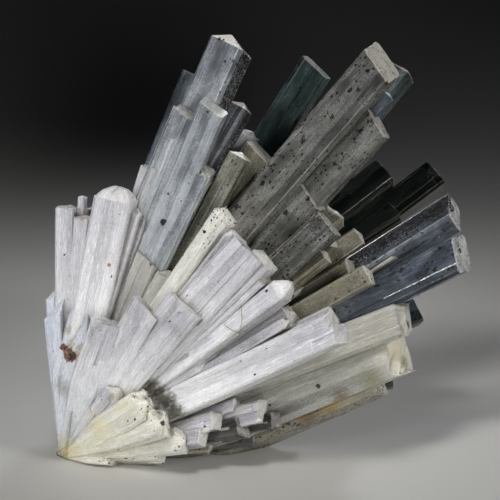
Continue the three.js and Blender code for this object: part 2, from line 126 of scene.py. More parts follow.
# Places are [right, up, toward] from the growth point, and START is that point itself. A row is: root, tip,
# wide, deep, turn, cap, finish, form, and for some the side that more grains lie on, as an angle round the
# axis from its right, and how many. A cap of two numbers is one face and its slopes across and to the front.
# One of three is a low pyramid: its peak's place as shares of the width and depth, and its steepness.
START = (0, 0, 0)
BUNDLES = {
    "left_crystals": {
        "left_column_a": (START, (0.4, 36.3, 2.5), 3.2, 4.4, 10, (-0.3, 0, 0.1), "white", "striped"),
        "left_column_b": (START, (3.1, 34.9, 3.7), 3.2, 4.2, 20, (0, 0, 0.12), "white", "striped"),
        "left_column_c": ((-0.2, 2, 0), (-1.4, 25.6, 0.9), 3, 4, 15, (0.5, 0, 0.9), "cool_white", "blocky"),
        "left_column_d": ((0.2, 1, 0), (-1.4, 23.2, 3.2), 3.4, 4.4, 25, (0.5, 0, 0.9),
            "cool_white", "blocky"),
        "left_front_a": (START, (1.2, 22, 6.0), 4.6, 4.4, 12, (0.1, -0.5, 2.2), "cool_white", "striped"),
        "left_front_b": (START, (3.6, 20, 8.0), 4.6, 4.2, 20, (0, -0.5, 2.2), "cool_white", "striped"),
        "small_clear": (START, (2.7, 37.6, 2.2), 1.4, 1.4, 30, (0, 0, 0.3), "pearl", "clean"),
        "left_back_a": (START, (0.8, 36.6, -1.9), 2.2, 3.4, 10, (0, 0, 0.2), "drab", "broken"),
        "left_back_b": (START, (4, 36.3, -1.3), 2.2, 3.4, 20, (0, 0, 0.2), "drab", "broken"),
        "white_column_a": (START, (5.9, 36.8, 5.6), 2.6, 4, 10, (0.1, 0, 0.2), "white", "broken"),
        "white_column_b": (START, (8.2, 39, 6.8), 6.4, 5.6, 14, (0, 0, 0.18), "white", "rounded", (0, 0.3)),
        "white_column_c": (START, (10.8, 36.2, 5.6), 3, 4.4, 25, (-0.1, 0, 0.25),
            "white", "broken", (0, 0.3)),
        "white_column_d": (START, (11.5, 35.5, 4.6), 2.6, 4, 10, (0, 0, 0.3), "pearl", "broken", (0, 0.3)),
        "step_a": (START, (8.5, 10.2, 9.2), 3.4, 3.4, 10, (0, 0, 0.2), "white", "striped"),
    },
    "tall_crystals": {
        "tall_left": ((0.6, 5.4, 0.3), (24.8, 60.4, 3.4), 6.6, 5.8, 20, (-0.1, 0.1, 0.46),
            "bluish", "clean", (0, 3.2)),
        "tall_left_back": ((-0.7, 6.5, -2.7), (19.1, 55.6, -9.2), 4.8, 4.6, 10, (-0.3, 0, 0.15),
            "blue_clear", "clean"),
        "left_step": ((0.1, -0.1, 0), (22, 50.8, 7.1), 4.4, 3.4, 8, (0.2, 0.3), "pale_blue", "clean"),
        "left_plate": ((-0.6, 6, 0.7), (18.4, 50, 6.3), 4.8, 3.4, 12, (0.1, 0.25), "pale_blue", "striped"),
        "left_mass_a": (START, (15.8, 44.5, 3.6), 4.6, 4.2, 12, (-0.1, 0.3), "pale_blue", "striped"),
        "left_mass_b": (START, (20.3, 42.6, 6.0), 4.4, 3.8, 6, (0.15, 0.3), "pale_blue", "striped"),
        "left_stub": ((-0.5, 0.2, 0), (12.5, 42.1, 0.8), 2.8, 3.4, 15, (-0.2, 0, 0.2), "white", "striped"),
        "left_right_column": ((0.2, 6.5, -0.1), (25.9, 51.1, -1), 3.9, 4.4, 30, (0, 0.1, 0.42),
            "bluish", "clean", (20, 1.7)),
        "greenish_column": ((1.6, -0.9, 0), (25.7, 43.7, 4.4), 3.5, 3.6, 15, (0, 0, 0.3),
            "greenish", "clean"),
        "pale_behind": ((-0.6, 0.3, 0), (27, 47.6, -5), 3.8, 4, 20, (0.1, 0, 0.3), "pearl", "broken"),
        "shade_a": (START, (13, 29.6, 4.8), 4.4, 4, 14, (0.2, 0.2), "cream", "broken"),
        "shade_b": (START, (9.5, 28, 2.1), 3.2, 4, 30, (0, 0, 0.2), "drab", "broken"),
        "shade_c": (START, (15.6, 27.0, 5.4), 3.4, 4, 10, (0, 0, 0.3), "cream", "broken"),
        "shade_d": (START, (22.6, 38.6, 0.6), 5.2, 4.6, 15, (0, 0, 0.25), "olive", "clean"),
        "olive_a": (START, (29.4, 44.6, -1.6), 6.2, 5, 10, (0.2, 0.3), "olive", "clean"),
        "olive_b": (START, (30.4, 38.5, 0.8), 5.4, 5, 10, (0.2, 0.3), "speckled", "clean"),
    },
    "main_crystals": {
        "main_right": ((2.1, 6.1, 0.1), (47.2, 58.3, 1.3), 6.4, 5.8, 6, (0.22, 0.5), "speckled", "clean"),
        "second_right": ((0.2, -0.4, -0.9), (46.2, 49.5, -0.9), 6.2, 5.4, 10, (0.3, 0.25),
            "speckled", "clean", (10, 0.5)),
        "small_between": (START, (47.2, 52.5, -1.8), 2, 2.6, 10, (0, 0, 0.3), "water_clear", "clean"),
        "centre_column": ((1.1, -1.2, 0), (38.4, 33.7, 8.1), 4.8, 5, 12, (-0.2, 0, 0.14),
            "speckled", "clean", (140, 0.6)),
        "centre_brown": ((0.2, -0.3, 0), (37.9, 29.3, 6.7), 3, 3.6, 30, (0, 0, 0.3), "drab", "clean"),
        "centre_back": ((-0.8, 1.2, 0), (43.2, 32, -2.8), 3, 3.6, 2, (0, 0, 0.3), "olive", "clean"),
        "olive_c": (START, (36.6, 38.6, 0.4), 6, 5, 10, (0.2, 0.3), "speckled", "clean"),
        "olive_d": (START, (38.6, 33.2, 1.5), 6, 5, 15, (0.2, 0.3), "olive", "clean"),
        "olive_e": (START, (42.8, 26.4, 2.5), 6, 5, 15, (0.2, 0.3), "olive", "clean"),
    },
    "clear_crystals": {
        "clear_upper": ((0.2, -0.2, 0), (57.5, 35.8, -1.2), 5.7, 5.2, 45, (0.25, 0.4),
            "water_clear", "clean", (150, 1.7)),
        "clear_lower": ((-0.3, 0.7, 0), (58.5, 29.8, 4.6), 5.5, 5, 6, (0.2, 0.45),
            "water_clear", "clean", (150, 0.8)),
        "pale_step": ((-0.4, 0.8, 0), (44.2, 26.5, 8.2), 3.4, 3.4, 8, (0, 0, 0.3), "olive", "clean"),
        "back_lump": ((0.6, -0.7, 0), (40.2, 35.4, -9.4), 4, 4.4, 20, (0, 0, 0.2), "olive", "broken"),
    },
    "dark_crystals": {
        "dark_back": ((0.6, -0.4, 0), (37.6, 58.4, -16), 5.4, 5, 8, (0.2, 0.42),
            "dark_green", "clean", (10, 1.2)),
        "right_back": ((1.2, -1, 0), (50, 57.2, -14.7), 5.3, 4.8, 20, (0.1, 0, 0.36), "dark_green", "clean"),
        "dark_right_a": ((3.8, 7.6, -2.6), (48.2, 41.6, -22), 5.6, 5, 25, (-0.1, 0, 0.4),
            "black_green", "clean"),
        "dark_right_b": (START, (56, 41.6, -24.9), 5.2, 4.8, 15, (0, 0, 0.4), "black_green", "clean"),
        "dark_right_c": ((3.4, 6, -1.9), (49.4, 35.5, -18.6), 3.8, 3.8, 35, (0, 0, 0.35),
            "black_green", "clean"),
        "green_back_a": (START, (52.2, 20.6, -13.9), 4.2, 4.4, 10, (0.1, 0, 0.2), "dark_green", "clean"),
        "green_back_b": (START, (48.1, 10.9, -6.9), 3.2, 4, 20, (0.1, 0, 0.3), "dark_green", "clean"),
    },
    "centre_crystals": {
        "pale_column": ((-0.3, 0.2, 0), (23.8, 35.1, 13), 3.8, 4.2, 30, (0.1, 0.2), "ivory", "striped"),
        "white_front_a": (START, (25.2, 31.7, 16.4), 3.4, 4, 10, (0, 0, 0.2), "white", "blocky"),
        "white_front_b": (START, (27.4, 30.3, 17.2), 6.6, 4.8, 10, (0.04, -0.3), "white", "blocky"),
        "white_front_c": (START, (29.4, 28.8, 17), 4.4, 4.2, 20, (0, 0, 0.2), "white", "blocky"),
        "white_front_d": (START, (29, 26.6, 16), 3.6, 4, 15, (0, 0, 0.25), "white", "striped"),
        "rounded_front": ((-0.4, 0.6, 0), (32.8, 25.2, 17.6), 3.8, 4, 25, (0, 0, 0.45), "white", "rounded"),
        "grey_stub": (START, (33.4, 21, 13.6), 4, 4, 10, (0, 0, 0.2), "pearl", "broken"),
        "small_pale": (START, (32.5, 20, 15.4), 1.8, 2.4, 15, (0, 0, 0.3), "pearl", "broken"),
    },
    "front_crystals": {
        "long_front_upper": ((-0.7, 1.4, 0), (38.6, 20.3, 16.8), 3.6, 4.4, -20, (0.1, 0.2),
            "white", "blocky"),
        "long_front_lower": ((0.4, -0.8, 0), (40, 18.4, 16.9), 3.4, 4.6, 20, (0.1, 0.2), "white", "blocky"),
        "front_stub_a": (START, (13.2, 22.7, 13.4), 5.2, 4.8, 10, (0.27, -0.35), "white", "blocky"),
        "front_stub_b": (START, (18.5, 22.7, 15), 6.4, 4.6, 10, (0.05, -0.35), "white", "blocky"),
        "front_stub_c": (START, (7.6, 20.3, 10.4), 5.8, 5, 15, (-0.1, -0.3), "white", "blocky"),
    },
    "lower_crystals": {
        "lower_right_upper": ((-0.3, 0.8, 0), (50.2, 20.5, 6.2), 5.2, 4.8, 6, (0.1, 0.3), "cream", "chipped"),
        "lower_right_main": ((2.2, -4, -4.4), (50.2, 16.6, 3.4), 8.6, 7.6, 6, (0.1, 0.3), "cream", "chipped"),
        "lower_right_low": ((4, -7.2, -6), (47.4, 12.2, -1), 6.4, 7, 20, (0.2, 0.3),
            "rusty", "chipped", (20, 1.2)),
        "under_a": ((1, -2.4, -5), (37, 7.0, -3.6), 5.4, 6, 15, (0, 0, 0.4), "smoky", "broken"),
        "under_b": ((-0.1, 0.6, -3), (28.5, 3.2, -1.6), 4.8, 5.4, 10, (0, 0, 0.3), "smoky", "broken"),
        "cluster_a": ((7, 0.6, 0), (29.4, 7.0, 7.4), 3.6, 3.4, 10, (0.3, 0.2), "pearl", "blocky"),
        "cluster_b": ((7, 0, 0), (26.4, 4.6, 7.6), 3.4, 3.4, 20, (-0.2, 0.2), "smoky", "blocky"),
        "cluster_c": ((5, 0, 0), (22.8, 5.7, 8.4), 3.2, 3, 15, (0.2, 0.3), "pearl", "blocky"),
        "cluster_e": ((5, 0, 0), (25.3, 7.7, 7.0), 2.4, 2.6, 30, (0.3, 0.1), "pearl", "blocky"),
        "cluster_f": ((5, 0, 0), (31.2, 5.6, 5.8), 2.6, 3, 5, (0.1, 0.3), "smoky", "blocky"),
        "cluster_d": ((5, 0, 0), (20.6, 3.2, 8.4), 3.0, 3, 25, (0.2, 0.1), "pearl", "blocky"),
    },
    "apex_crystals": {
        "apex_fan_a": (START, (12.5, 8.3, 11.7), 5, 3.8, 10, (0, 0, 0.2), "ochre", "striped"),
        "apex_fan_b": (START, (14.9, 5.6, 12), 4.6, 4, 20, (0, 0, 0.2), "ochre", "striped"),
        "apex_fan_c": (START, (17.8, 2.8, 9), 4.2, 4, 15, (0, 0, 0.2), "ochre", "striped"),
        "apex_fan_d": (START, (15, 0.8, 5), 3.6, 4, 25, (0, 0, 0.3), "ochre", "striped"),
        "apex_fan_e": (START, (8, 0, 4), 3, 3.4, 10, (0, 0, 0.3), "ochre", "striped"),
        "apex_fan_f": (START, (22, 1.6, 1), 3, 4.4, 15, (0, 0, 0.3), "drab", "broken"),
    },
}

# Crystals that no row lists, spread over a range of two angles as in the solid. FILL and FRONT are given by
# the angle in the fan and the lean toward the viewer, and BACK, the far side, by the turn to the back and
# the rise above the ground.
FILL = {"count": 16, "first": (24, 76), "second": (-40, 20), "length": (20, 26), "width": (7.5, 9)}
FRONT = {"count": 18, "first": (16, 70), "second": (16, 34), "length": (16, 24), "width": (3.8, 4.8)}
BACK = {"count": 26, "first": (14, 84), "second": (2, 60), "length": (27.7, 37.7), "width": (4.2, 5.8)}
BACK_FINISHES = ("pearl", "white", "cream", "pearl", "pale_blue")  # which the far ones have in turn
FRONT_FROM = 60  # angle in the fan below which the photograph shows none of FRONT
PIT = {"toward": -3, "from": 12, "to": 40}  # the angles and the lean from which FILL leaves the pit open
SPREAD_DEPTH = 0.9  # depth of these crystals as a share of their width
SPREAD_TURN = 60  # the most that one is turned about its axis
SPREAD_CAP = (0, 0, 0.3)
GOLDEN = (0.6180339887, 0.7548776662, 0.5698402910, 0.8191725134)  # even steps that never repeat

# Stains and a pit's painted shade by the pixel of the photograph where each is seen: name, place, radius in
# millimetres, colour, strength, the share of the radius that is fully coloured, and how ragged its edge is
STAIN_AND_SHADE_MARKS = [
    ("rust_rim", (69, 355), 1.2, "#7C4022", 0.95, 0.75, 1.5),
    ("rust_bridge", (66, 351), 0.65, "#7C4022", 0.95, 0.7, 1.4),
    ("rust_trail", (63, 347), 0.55, "#703A20", 0.95, 0.7, 1.3),
    ("rust_heart", (69, 355), 0.95, "#34301A", 0.9, 0.6, 1.2),
    ("orange_speck", (109, 265), 0.35, "#B5713A", 0.9, 0.5, 0.3),
    ("black_spot", (163, 222), 0.55, "#17140F", 0.95, 0.8, 1.6),
    ("red_top", (84, 218), 1.3, "#A07762", 0.6, 0.1, 0.9),
    ("apex_ochre", (68, 447), 3.0, "#DDD09A", 0.75, 0.1, 0.9),
    ("fan_yellow", (98, 425), 3.2, "#E6DEB0", 0.5, 0.1, 0.8),
    ("fan_yellow_b", (120, 402), 3.0, "#E9E1B4", 0.45, 0.1, 0.8),
    ("cream_end", (398, 352), 5.0, "#F1EBD6", 0.75, 0.1, 0.6),
    ("ochre_patch", (330, 405), 2.2, "#AB9760", 0.85, 0.3, 1.3),
    ("rust_patch", (342, 398), 2.0, "#776650", 0.8, 0.2, 1.3),
    ("rust_patch_b", (308, 417), 2.4, "#846F52", 0.8, 0.2, 1.3),
    ("green_patch", (372, 380), 2.4, "#8E8C6C", 0.7, 0.2, 1.3),
    ("end_rim", (405, 362), 1.4, "#77744F", 0.7, 0.2, 1.3),
    ("dark_grain", (318, 386), 0.4, "#2B1D14", 0.9, 0.6, 1.2),
    ("fan_end_grains_a", (147, 398), 1.0, "#5E5638", 0.75, 0.2, 1.4),
    ("fan_end_grains_b", (158, 412), 1.2, "#4A422C", 0.8, 0.2, 1.4),
    ("fan_end_grains_c", (172, 428), 1.0, "#5E5638", 0.7, 0.2, 1.4),
    # Painted shade in the deep pit below the front columns, with some dirt
    ("pit_dirt_a", (163, 400), 2.6, "#4E4A41", 0.9, 0.35, 1.0),
    ("pit_dirt_b", (174, 413), 2.4, "#4E4A41", 0.9, 0.35, 1.0),
    ("pit_dirt_c", (152, 388), 1.8, "#57523F", 0.9, 0.4, 1.2),
    ("left_band", (62, 388), 2.2, "#8F8B6E", 0.55, 0.1, 1.4),
    ("left_grains", (68, 330), 0.9, "#9A8F5C", 0.6, 0.2, 1.4),
]

# Hairs of dust that lie across the front crystals, by the pixels of the photograph that each passes
HAIRS = {
    "hair_across": ((224, 325), (233, 331), (240, 333)),
    "hair_upright": ((241, 305), (242, 319), (240, 333)),
}
HAIR_RADIUS = 0.045
HAIR_LIFT = 0.1  # above the crystals
HAIR_POINTS = 12
HAIR_SIDES = 3

CLEAR_FROM = 0.9  # clarity from which a face has the plain clear material
CLEAR_TRANSMISSION = 0.85

# Edges of a crystal
EDGE_WIDTH = 0.11  # of the pale line on each side of an edge: a painted highlight, with some bruising
CHAMFER = 0.03  # how far a worn edge lies below a sharp one
PALE_EDGE_MOST = 0.6  # the most that an edge goes toward the pale colour of bruising and painted highlight
PALE_EDGE_POWER = 1.5  # makes very pale edges rarer than slightly pale ones

# Plates on its faces
PLATE_SHIFT = 0.32  # how far a joint between two plates is off its even place, as a share of a plate
JOINT_WIDTH = 0.08  # of the slope between two plates
SHORT_PLATES = 0.3  # share of the plates that end short of the tip
PLATE_ENDS = (0.45, 0.97)  # shares of the length where these end
NEVER = 2.0  # the same for one that runs to the tip
PLATE_END_STEP = 0.25  # the most that a face drops where a plate ends
PLATE_DROPS = (0.3, 1.0)  # the share of it that one plate has
PLATE_END_RUN = 0.0012  # half the share of the length over which it drops
FULL_STEP = 0.08  # step from which a form has that drop in full
PLATE_TONES = (0.85, 1.06)
PLATE_MIDDLE = 0.95  # tone of a plate that is as clear as its finish says
PLATE_CLARITY = 0.9  # how much clearer a darker plate is
PALE_VEIL = 0.8  # how much of its clarity crystal loses where it is pale, bruised and highlighted

# Rings of a crystal, as shares of its length and, on the end face, of the way out from its highest point
LEVELS = (0.0, 0.1, 0.22, 0.36, WAIST_AT, 0.75)
PLAIN_LEVELS = (0.0, 0.2, WAIST_AT, 1.0)
UNEVEN_END = (0.86, 0.66, 0.42, 0.2)
PLAIN_END = (0.5,)
END_WAVES = 4  # waves that make an end face uneven
ROUNDING_POWER = 2.2  # how full a rounded end is
SLANT_TOP = 0.8  # place of a slanted end's middle point, as a share of the way to its highest corner
LEAST_ROUGH = 1e-6

# Grains
END_GRAINS_REACH = 2.2  # how far from the tip the grains about an end lie
GRAIN_SIDE = (0.3, 0.9)  # cosine of the angle from the grains' side at which they begin and are all there
GRAIN_SIZES = {  # how many there are, how far apart, and their radii as shares of that
    "large": {"share": 1.2, "pitch": 1.05, "radii": (0.1, 0.36)},
    "small": {"share": 1.9, "pitch": 0.52, "radii": (0.14, 0.4)},
}
PATTERN_SHIFT = 90  # the most that the patterns of one crystal are shifted

# Thin crystals: riders along the faces of a milky one, and needles between neighbours
RIDER_WIDTHS = (0.4, 1.3)
RIDER_PROUD = (0.03, 0.22)  # how far a rider stands out of the face that it grew along
RIDER_ENDS = ((0.45, 0.8), (0.8, 0.97))  # shares of the length where a short and a long one end
NEEDLE_WIDTHS = (0.9, 2.2)
NEEDLE_LENGTHS = (0.5, 0.9)  # as a share of the shorter neighbour's
NEEDLE_SHARES = (0.2, 0.4, 0.6, 0.8)  # where they stand between the two neighbours
NEEDLE_STRAY = 0.01
NEEDLE_CAP = (0, -0.4, 1.5)
NEEDLE_FINISHES = ("white", "pearl", "ochre", "cream", "drab")  # which they share with the crystal
NEIGHBOURS = 5
NEIGHBOUR_ANGLE = math.cos(math.radians(16))
THIN_TURN = 60

# How bright one crystal is beside the next
CRYSTAL_TONES = (0.95, 1.03)
RIDER_TONES = (0.8, 1.0)
NEEDLE_TONES = (0.7, 1.03)

CUT_SPAN = 200  # half the width of the block that is cut away under the foot
CUT_DEPTH = 60
FLOOR_REACH = 500
FLOOR_SIDES = 96

# Soft boxes in a dark room: place, aim, size, watts, colour, and degrees that the grid lets through
LIGHTS = {
    "key_box": ((-150, -200, 330), (0, -6, 22), (130, 110), 0.0255, "#FFFDF8", 22),
    "side_box": ((-310, -290, 120), (-10, -6, 22), (180, 120), 0.018, "#F6F8FF", 20),
    "right_box": ((330, -230, 190), (0, -4, 34), (140, 120), 0.023, "#FFFCF4", 17),
    "front_box": ((40, -430, 70), (-8, -4, 26), (220, 130), 0.019, "#FFFEFA", 18),
    "back_box": ((150, 330, 240), (0, 6, 30), (160, 120), 0.016, "#F4F7FF", 16),
}
ROOM_COLOUR = "#1C1D20"
ROOM_LIGHT = 0.35


def linear(code):
    """An sRGB hex colour as the linear values that the shaders use."""
    shares = [int(code[i : i + 2], 16) / 255 for i in (1, 3, 5)]
    return [c / 12.92 if c <= 0.04045 else ((c + 0.055) / 1.055) ** 2.4 for c in shares] + [1.0]


def place(at):
    """A place given by its distances from the growth point, in the part's frame."""
    return GROWTH_POINT + at[0] * RIGHT + at[1] * UP + at[2] * TOWARD


def smooth(low, high, value):
    """A soft step from 0 at low to 1 at high."""
    share = np.clip((value - low) / (high - low), 0, 1)
    return share * share * (3 - 2 * share)


def corners(sides, wide, deep, turn):
    """The section's corners: a square with its corners cut off, or a regular outline."""
    if sides == 8:
        angles = [(1, side, quarter) for quarter in range(4) for side in (BEVEL - 1, 1 - BEVEL)]
        points = [(math.hypot(x, y), math.atan2(y, x) + quarter * math.pi / 2) for x, y, quarter in angles]
    else:
        points = [(1, 2 * math.pi * k / sides) for k in range(sides)]
    spread = math.radians(turn)
    made = np.array([(r * math.cos(a + spread), r * math.sin(a + spread)) for r, a in points])
    return made / np.abs(made).max(axis=0) * (wide / 2, deep / 2)


def axes(root, tip):
    """A crystal's start, its length and its own axes: across to the right, toward the front, and along."""
    start, stop = place(root), place(tip)
    length = np.linalg.norm(stop - start)
    axis = (stop - start) / length
    across = np.cross(axis, TOWARD)
    across /= np.linalg.norm(across)
    return start, length, across, np.cross(across, axis), axis


def outline(section, shoulders, form, rng):
    """Points round the section, with plates on the faces. A point has its place, the height of its shoulder,
    its depth below the face, the share of the length where its plate ends, the drop there, how pale an edge
    it lies on, by bruising and a painted highlight, and the tone of its plate."""
    points = []
    count = len(section)
    for k in range(count):
        a, b = section[k], section[(k + 1) % count]
        low, high = shoulders[k], shoulders[(k + 1) % count]
        length = np.linalg.norm(b - a)
        pale_edge = PALE_EDGE_MOST * rng.uniform(0, 1) ** PALE_EDGE_POWER
        points.append((*a * (1 - CHAMFER / np.linalg.norm(a)), low, 0.0, NEVER, 0.0, pale_edge, 1.0))
        if not form["plate"]:
            continue
        plates = max(1, round(length / form["plate"]))
        cuts = (np.arange(1, plates) + rng.uniform(-PLATE_SHIFT, PLATE_SHIFT, plates - 1)) / plates
        bounds = [0.0, *cuts, 1.0]
        for start, stop in zip(bounds[:-1], bounds[1:]):
            depth = rng.uniform(0, form["step"])
            end = rng.uniform(*PLATE_ENDS) if plates > 1 and rng.random() < SHORT_PLATES else NEVER
            drop = rng.uniform(*PLATE_DROPS) * PLATE_END_STEP * min(1, form["step"] / FULL_STEP)
            short = rng.uniform(0, form["ragged"])
            tone = rng.uniform(*PLATE_TONES)
            for share, side in ((start, 1), (stop, -1)):
                outer = share in (0.0, 1.0)
                margin = min(EDGE_WIDTH if outer else JOINT_WIDTH / 2, length / 4) / length
                at = share + side * margin
                height = low + (high - low) * at - short
                points.append((*a + (b - a) * at, height, depth, end, drop, 0.0, tone))
    return np.array(points)


def prism(row, form, rng, grain_side=None):
    """One crystal as rings of points from the growth point to the end. Gives its points and faces and, for
    each point, its place in the crystal's own axes, its share of the length, how pale it is, by bruising and
    a painted highlight on edges and end faces, its share of the grains, and its tone."""
    root, tip, wide, deep, turn, cap = row[:6]
    start, length, across, front, axis = axes(root, tip)
    section = corners(form["sides"], wide, deep, turn)
    if len(cap) == 2:
        fall = section @ np.array(cap)
        highest = section[np.argmin(fall)] * SLANT_TOP
        shoulders = length - (fall - fall.min())
        top = length - (highest @ np.array(cap) - fall.min())
    else:
        highest = np.array([cap[0] * wide, cap[1] * deep])
        shoulders = length - form["rounding"] - cap[2] * np.linalg.norm(section - highest, axis=1)
        top = length
    shoulders = shoulders - rng.uniform(0, form["rough"] + LEAST_ROUGH, len(shoulders))
    rim = outline(section, shoulders, form, rng)
    n = len(rim)
    places = rim[:, :2]
    heights, depths, ends, drops, edges, tones = rim[:, 2:].T
    outward = places / np.linalg.norm(places, axis=1)[:, None]
    if not form["plate"]:
        edges = edges * 0

    levels = [*LEVELS, 1 - EDGE_WIDTH / length, 1.0]
    levels += [end + step for end in set(ends[ends < 1]) for step in (-PLATE_END_RUN, PLATE_END_RUN)]
    flats, alongs, pales = [], [], []
    for level in sorted(levels) if form["plate"] else PLAIN_LEVELS:
        along = heights * level
        reach = np.interp(along / length, [0, WAIST_AT, 1], [FOOT_SHARE, WAIST_SHARE, 1.0])
        depth = depths + np.where(level > ends, drops, 0.0)
        flats.append((places - outward * depth[:, None]) * reach[:, None])
        alongs.append(along)
        # Edges and the end go pale: a painted highlight, with some bruising
        pales.append(np.maximum(edges * rng.uniform(0.2, 1.0, n), float(level == 1.0)))
    rim_place = flats[-1]
    waves = rng.uniform(0, 2 * math.pi, (END_WAVES, 2))
    margin = 1 - 2 * EDGE_WIDTH / min(wide, deep)
    uneven = form["rough"] or form["rounding"]
    for share in (margin, *(UNEVEN_END if uneven else PLAIN_END)):
        flat = highest + (rim_place - highest) * share
        along = heights + (top - heights) * (1 - share ** (ROUNDING_POWER if form["rounding"] else 1))
        bumps = sum(
            np.sin(flat[:, 0] * (i + 1.5) + waves[i, 0]) * np.cos(flat[:, 1] * (i + 1.2) + waves[i, 1])
            for i in range(END_WAVES)
        ) / END_WAVES
        along = along - form["rough"] * (0.5 + 0.5 * bumps) * rng.uniform(0.6, 1.0, n)
        flats.append(flat)
        alongs.append(along)
        pales.append(np.ones(n))
    rings = len(flats)
    flat = np.vstack([*flats, np.zeros((1, 2)), highest[None]])
    along = np.concatenate([*alongs, [0.0], [top - form["rough"] * 0.5]])
    pale = np.concatenate([*pales, [0.0], [1.0]])
    points = start + flat[:, :1] * across + flat[:, 1:] * front + along[:, None] * axis
    foot, crown, last = rings * n, rings * n + 1, (rings - 1) * n
    around = [(k, (k + 1) % n) for k in range(n)]
    faces = [
        (r * n + j, r * n + k, (r + 1) * n + k, (r + 1) * n + j) for r in range(rings - 1) for k, j in around
    ]
    faces += [(foot, k, j) for k, j in around]
    faces += [(crown, last + j, last + k) for k, j in around]
    grains = np.zeros(len(points))
    if grain_side is not None:
        side, amount = grain_side
        facing = np.cos(np.arctan2(flat[:, 1], flat[:, 0]) - math.radians(side))
        grains = amount * smooth(*GRAIN_SIDE, facing)
    tones = np.concatenate([*[tones] * rings, [1.0, 1.0]])
    return points, faces, np.column_stack([flat, along]), along / length, pale, grains, tones


def linked(name, data):
    """A new object with this data, linked to the scene."""
    made = bpy.data.objects.new(name, data)
    bpy.context.scene.collection.objects.link(made)
    return made


def meshed(name, points, faces):
    """A new object of these points, in metres, and faces."""
    mesh = bpy.data.meshes.new(name)
    mesh.from_pydata(points, [], faces)
    return linked(name, mesh)


class Bundle:
    """Gathers the crystals of one piece and joins them into one closed mesh."""

    def __init__(self, name):
        self.name = name
        self.parts = bpy.data.collections.new(name + "_parts")
        self.count = 0

    def add(self, made, finish, rng, brightness=1.0):
        """Adds a crystal, with its finish on the corners of its faces, where the union keeps it."""
        points, faces, local, share, pale, grains, tones = made
        near_end = smooth(-END_GRAINS_REACH, 0, local[:, 2] - local[:, 2].max())
        look = FINISHES[finish]
        mesh = bpy.data.meshes.new(f"{self.name}_{self.count}")
        mesh.from_pydata((points * MM).tolist(), [], faces)
        corner_vertex = np.zeros(len(mesh.loops), int)
        mesh.loops.foreach_get("vertex_index", corner_vertex)
        grown = smooth(*look["between"], share)
        pale = pale * look["pale"]
        clarity = look["clarity"][0] + (look["clarity"][1] - look["clarity"][0]) * grown
        clarity = (clarity + PLATE_CLARITY * (PLATE_MIDDLE - tones)) * (1 - PALE_VEIL * pale)
        shade = (brightness, brightness, brightness, 1)
        root, tip = (np.array(linear(code)) * shade for code in look["colours"])
        tint = (root + (tip - root) * grown[:, None]) * tones[:, None]
        # The pale colour on edges and end faces: painted highlight and bruised crystal
        tint = tint + (np.array(linear(BRUISE_AND_HIGHLIGHT)) - tint) * pale[:, None]
        for name, kind, field, values in (
            ("local", "FLOAT_VECTOR", "vector", local + rng.uniform(0, PATTERN_SHIFT, 3)),
            ("clarity", "FLOAT", "value", clarity),
            ("grains", "FLOAT", "value", grains + look["grains"] + near_end * look["end_grains"]),
            ("tint", "FLOAT_COLOR", "color", tint),
        ):
            attribute = mesh.attributes.new(name, kind, "CORNER")
            attribute.data.foreach_set(field, np.ascontiguousarray(values[corner_vertex], np.float32).ravel())
        self.parts.objects.link(bpy.data.objects.new(mesh.name, mesh))
        self.count += 1

    def join(self):
        """One mesh of all the crystals, cut flat where the spray stands."""
        objects = list(self.parts.objects)
        first = objects[0]
        self.parts.objects.unlink(first)
        bpy.context.scene.collection.objects.link(first)
        union = first.modifiers.new("union", "BOOLEAN")
        union.operation = "UNION"
        union.solver = "MANIFOLD"
        union.operand_type = "COLLECTION"
        union.collection = self.parts
        cut = first.modifiers.new("cut", "BOOLEAN")
        cut.operation = "DIFFERENCE"
        cut.solver = "MANIFOLD"
        cut.object = ground_block()
        graph = bpy.context.evaluated_depsgraph_get()
        mesh = bpy.data.meshes.new_from_object(first.evaluated_get(graph))
        for ob in [first, *self.parts.objects]:
            old = ob.data
            bpy.data.objects.remove(ob)
            bpy.data.meshes.remove(old)
        bpy.data.collections.remove(self.parts)
        mesh.name = self.name
        return linked(self.name, mesh)


def ground_block():
    """The block below the flat cut, used to cut the crystals and deleted afterwards."""
    if "ground_block" in bpy.data.objects:
        return bpy.data.objects["ground_block"]
    span, depth = CUT_SPAN * MM, CUT_DEPTH * MM
    points = [(x, y, z) for z in (-depth, 0) for y in (-span, span) for x in (-span, span)]
    faces = [(0, 2, 3, 1), (4, 5, 7, 6), (0, 1, 5, 4), (1, 3, 7, 5), (3, 2, 6, 7), (2, 0, 4, 6)]
    return meshed("ground_block", points, faces)


